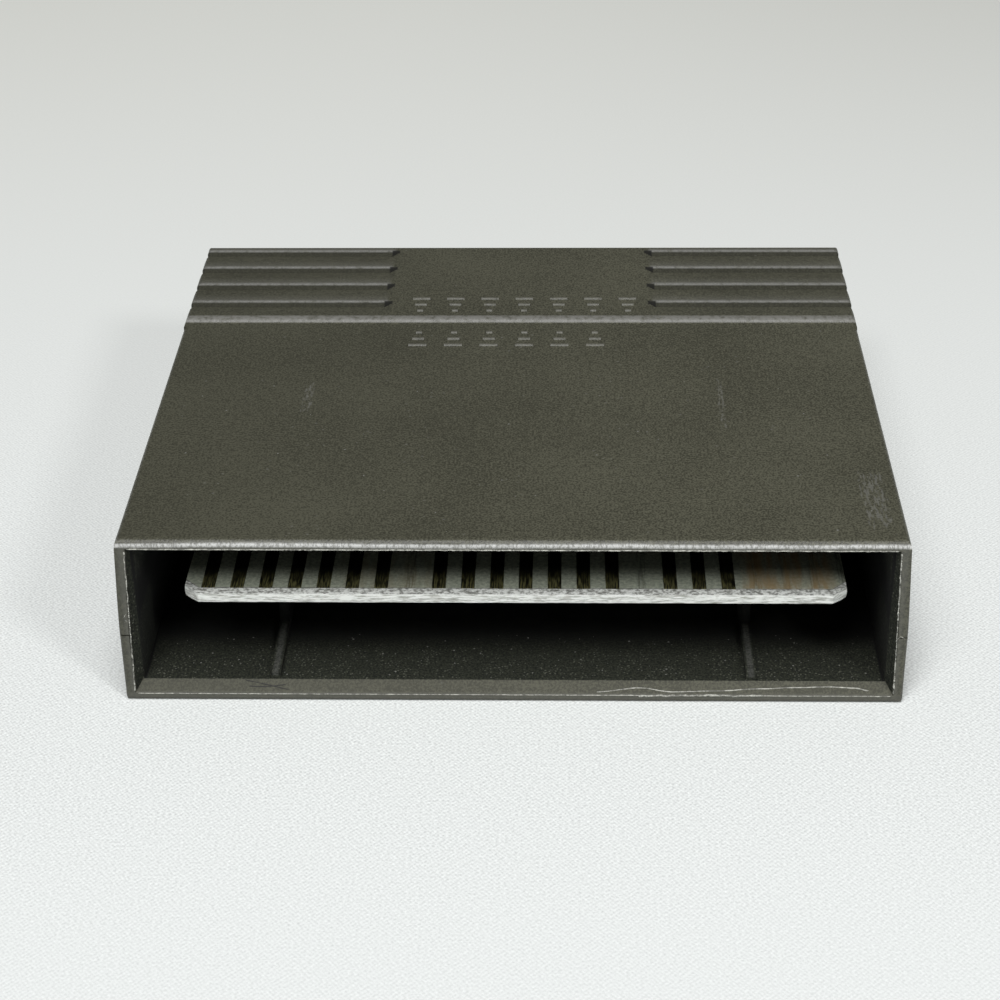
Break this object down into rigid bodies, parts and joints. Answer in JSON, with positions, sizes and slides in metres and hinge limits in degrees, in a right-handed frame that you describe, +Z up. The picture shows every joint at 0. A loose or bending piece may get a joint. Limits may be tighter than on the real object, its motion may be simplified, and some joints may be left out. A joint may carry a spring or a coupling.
{
  "type": "game cartridge",
  "caption": "Dark moulded game cartridge: open mouth with a recessed card-edge board, raised insertion line and ribbed finger grips at the rear.",
  "frame": {"origin": "middle of the flat underside, where the part rests", "axes": "+Z up from the underside, the open mouth faces -Y, +X to the right as the mouth is looked into"},
  "size_m": [0.1072, 0.095, 0.0267],
  "materials": {
    "shell_plastic": "fine spark-eroded texture, dark olive grey, polished by handling on its edges",
    "board_laminate": "grey-green glass laminate, paler and fibrous on its worn front edge",
    "contact_gold": "thin gold plating, tarnished dark olive",
    "chip_epoxy": "moulded black epoxy",
    "tinned_metal": "tinned leads and solder, dull silver",
    "capacitor_dip": "dipped ochre ceramic disc",
    "screw_steel": "zinc-plated steel"
  },
  "bodies": {
    "root": {"lower_shell": "shell_plastic", "upper_shell": "shell_plastic", "circuit_board": "board_laminate", "top_contacts": "contact_gold", "bottom_contacts": "contact_gold", "left_chip": "chip_epoxy", "left_chip_legs": "tinned_metal", "right_chip": "chip_epoxy", "right_chip_legs": "tinned_metal", "left_capacitor": "capacitor_dip", "left_capacitor_legs": "tinned_metal", "right_capacitor": "capacitor_dip", "right_capacitor_legs": "tinned_metal", "solder_joints": "tinned_metal", "case_screw": "screw_steel"}
  },
  "joints": []
}
